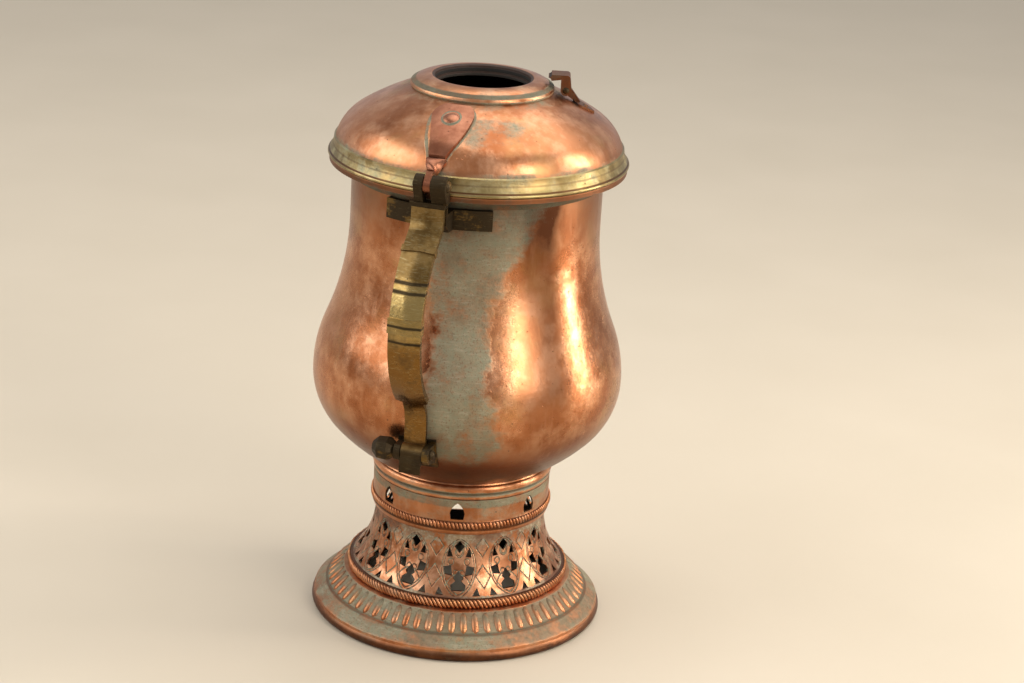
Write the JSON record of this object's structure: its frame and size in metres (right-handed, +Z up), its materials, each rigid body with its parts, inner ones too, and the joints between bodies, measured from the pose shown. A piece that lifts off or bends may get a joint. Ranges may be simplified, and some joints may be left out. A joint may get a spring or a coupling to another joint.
{
  "type": "footed copper charcoal smoker",
  "caption": "Pear-shaped copper vessel on a pierced foot, with a hinged dome lid that has a smoke hole, a brass strap handle and a fire grate inside.",
  "frame": {"origin": "centre of the foot's underside, on the vessel's axis", "axes": "+Z up along the vessel's axis, -Y towards the handle, +X to the right as seen from the handle"},
  "size_m": [0.1668, 0.1981, 0.3038],
  "materials": {
    "copper_foot": "worn copper with grey patina in the recesses",
    "copper_body": "polished and pitted copper with a tinned patch",
    "copper_lid": "polished copper with small patina blotches",
    "tinned_rim": "olive and grey patina, worn bright on the edge",
    "sooty_iron": "sooty",
    "brass": "cast brass, filed facets, dark recesses",
    "dark_brass": "dull brass",
    "grey_iron": "grey brown tarnish"
  },
  "bodies": {
    "vessel": {"foot_rim_ring": "copper_foot", "foot_skirt": "copper_foot", "lower_rope_ring": "copper_foot", "pierced_band": "copper_foot", "upper_rope_ring": "copper_foot", "vent_collar": "copper_foot", "seat_ring": "copper_foot", "body_shell": "copper_body", "grate": "sooty_iron", "grate_rivets": "sooty_iron", "body_rim_ring": "copper_body", "hinge_bracket": "dark_brass", "hinge_pin": "brass", "handle": "brass", "lower_bracket": "brass", "lower_pin": "brass"},
    "lid": {"lid_rim_ring": "tinned_rim", "lid_dome": "copper_lid", "chimney_collar": "copper_lid", "hinge_leaf": "copper_lid", "hinge_leaf_rivet": "copper_lid", "cap_leaf": "copper_lid", "cap_leaf_rivet": "copper_lid"},
    "cap_hinge": {"cap_strap": "grey_iron", "cap_pin": "grey_iron"}
  },
  "joints": [
    {"name": "lid_hinge", "type": "hinge", "parent": "vessel", "child": "lid", "pos_m": [0, -0.0834, 0.2625], "axis": [1, 0, 0], "range_deg": [0, 110]},
    {"name": "cap_strap_hinge", "type": "hinge", "parent": "lid", "child": "cap_hinge", "pos_m": [0.04202, 0.01126, 0.2958], "axis": [-0.2588, 0.9659, 0], "range_deg": [0, 70]}
  ]
}
